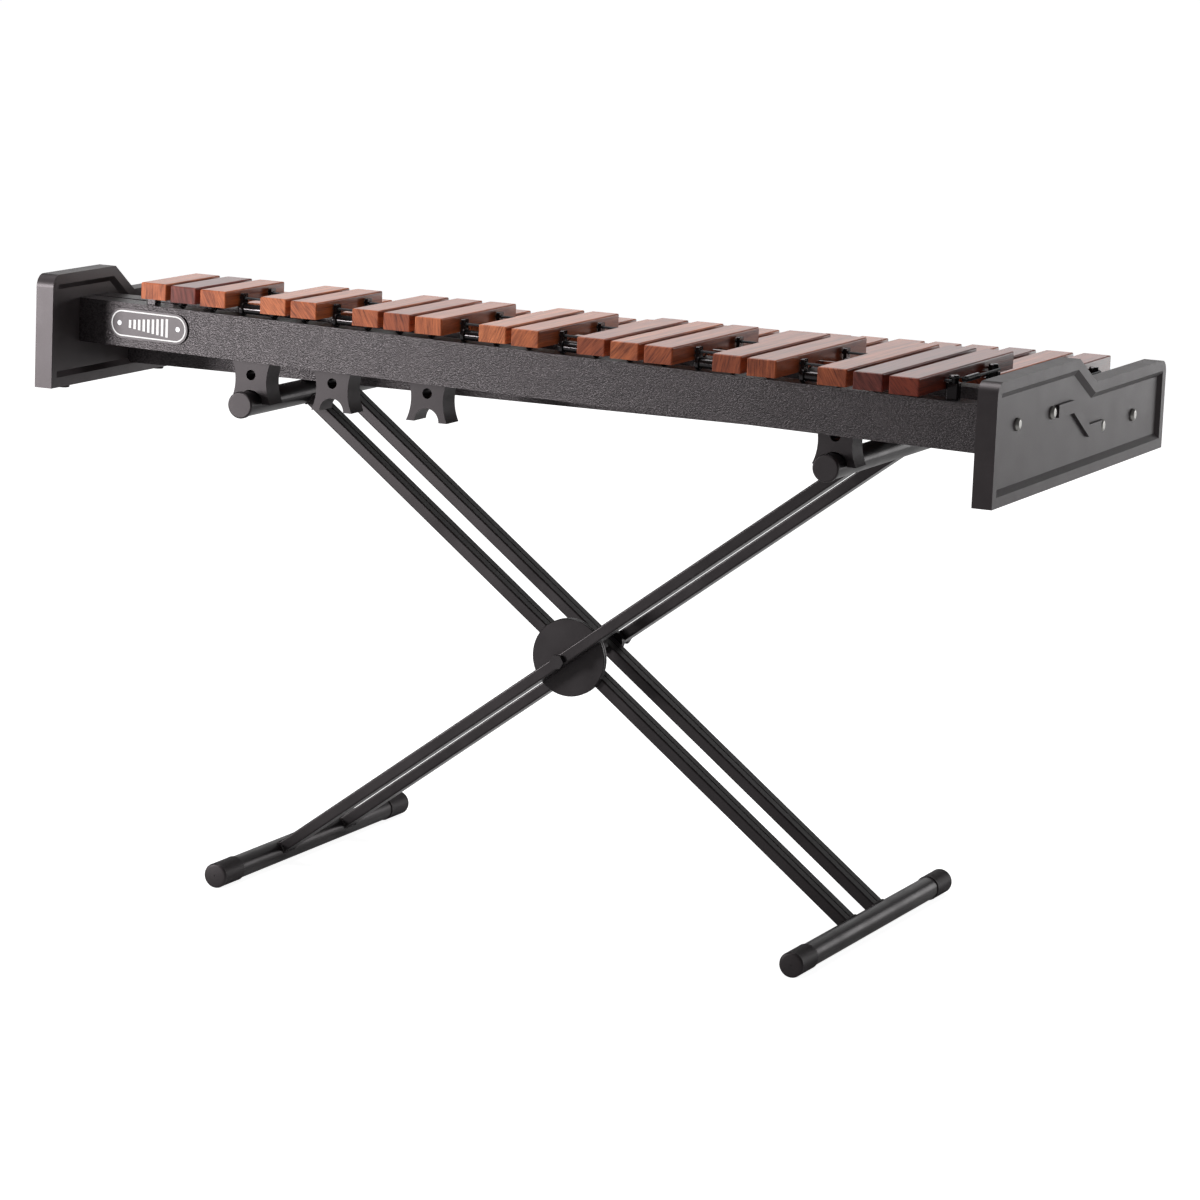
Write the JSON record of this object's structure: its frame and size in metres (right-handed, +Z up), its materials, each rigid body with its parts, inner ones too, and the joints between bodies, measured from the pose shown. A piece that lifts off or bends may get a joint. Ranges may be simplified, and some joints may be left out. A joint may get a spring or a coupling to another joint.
{
  "type": "xylophone",
  "caption": "Table xylophone: varnished wooden bars hang on cords over vinyl-covered rails between moulded end panels, and the whole rests on a folding X-shaped stand.",
  "frame": {"origin": "on the floor, under the middle of the bounding box", "axes": "+X towards the low notes, -Y the audience side with the accidentals, +Y the player's side, +Z up"},
  "size_m": [1.372, 0.6878, 0.7795],
  "materials": {
    "wood_natural": "gloss varnish",
    "wood_accidental": "gloss varnish",
    "rail_vinyl": "pebbled satin vinyl over a wooden rail",
    "panel_plastic": "fine texture",
    "foot_rubber": "matt",
    "screw_nickel": "nickel plated",
    "plate_plastic": "satin",
    "plate_screw": "satin",
    "post_plastic": "satin",
    "spring_steel": "bright",
    "cord": "braided",
    "saddle_plastic": "fine texture",
    "cap_plastic": "satin",
    "bolt_steel": "black",
    "stand_steel": "satin black"
  },
  "bodies": {
    "outer_leg_frame": {"outer_arm_far": "stand_steel", "outer_arm_near": "stand_steel", "outer_foot_caps": "cap_plastic", "outer_foot_tube": "stand_steel", "outer_pivot_disc": "stand_steel", "outer_top_caps": "cap_plastic", "outer_top_tube": "stand_steel", "pivot_bolts": "bolt_steel", "pivot_nuts": "bolt_steel", "pivot_spacer": "stand_steel"},
    "inner_leg_frame": {"inner_arm_far": "stand_steel", "inner_arm_near": "stand_steel", "inner_foot_caps": "cap_plastic", "inner_foot_tube": "stand_steel", "inner_pivot_disc": "stand_steel", "inner_top_caps": "cap_plastic", "inner_top_tube": "stand_steel"},
    "instrument": {"accidentals_cs5_to_ds5": "wood_accidental", "accidentals_cs6_to_ds6": "wood_accidental", "accidentals_cs7_to_ds7": "wood_accidental", "accidentals_fs4_to_as4": "wood_accidental", "accidentals_fs5_to_as5": "wood_accidental", "accidentals_fs6_to_as6": "wood_accidental", "accidentals_fs7_to_as7": "wood_accidental", "cord_accidentals": "cord", "cord_naturals": "cord", "cord_spring_accidentals": "spring_steel", "cord_spring_naturals": "spring_steel", "end_panel_high": "panel_plastic", "end_panel_low": "panel_plastic", "name_plate": "plate_plastic", "name_plate_screws": "plate_screw", "naturals_c5_to_b5": "wood_natural", "naturals_c6_to_b6": "wood_natural", "naturals_c7_to_c8": "wood_natural", "naturals_f4_to_b4": "wood_natural", "panel_screws_high": "screw_nickel", "panel_screws_low": "screw_nickel", "posts_accidental_front": "post_plastic", "posts_accidental_rear": "post_plastic", "posts_natural_front": "post_plastic", "posts_natural_rear": "post_plastic", "rail_accidental_front": "rail_vinyl", "rail_accidental_rear": "rail_vinyl", "rail_natural_front": "rail_vinyl", "rail_natural_rear": "rail_vinyl", "saddle_high_end": "saddle_plastic", "saddle_low_end": "saddle_plastic", "saddle_spare_inner": "saddle_plastic", "saddle_spare_outer": "saddle_plastic", "table_feet_high": "foot_rubber", "table_feet_low": "foot_rubber"}
  },
  "joints": [
    {"name": "stand_fold", "type": "hinge", "parent": "outer_leg_frame", "child": "inner_leg_frame", "pos_m": [0, 0.082, 0.32325], "axis": [0, 1, 0], "range_deg": [0, 100]},
    {"name": "instrument_lift", "type": "slide", "parent": "outer_leg_frame", "child": "instrument", "axis": [0.161, 0, 0.987], "range_m": [0, 1.68]}
  ],
  "couplings": [
    {"joint": "instrument_lift", "follows": "stand_fold", "m_per_rad": 0.9625}
  ]
}
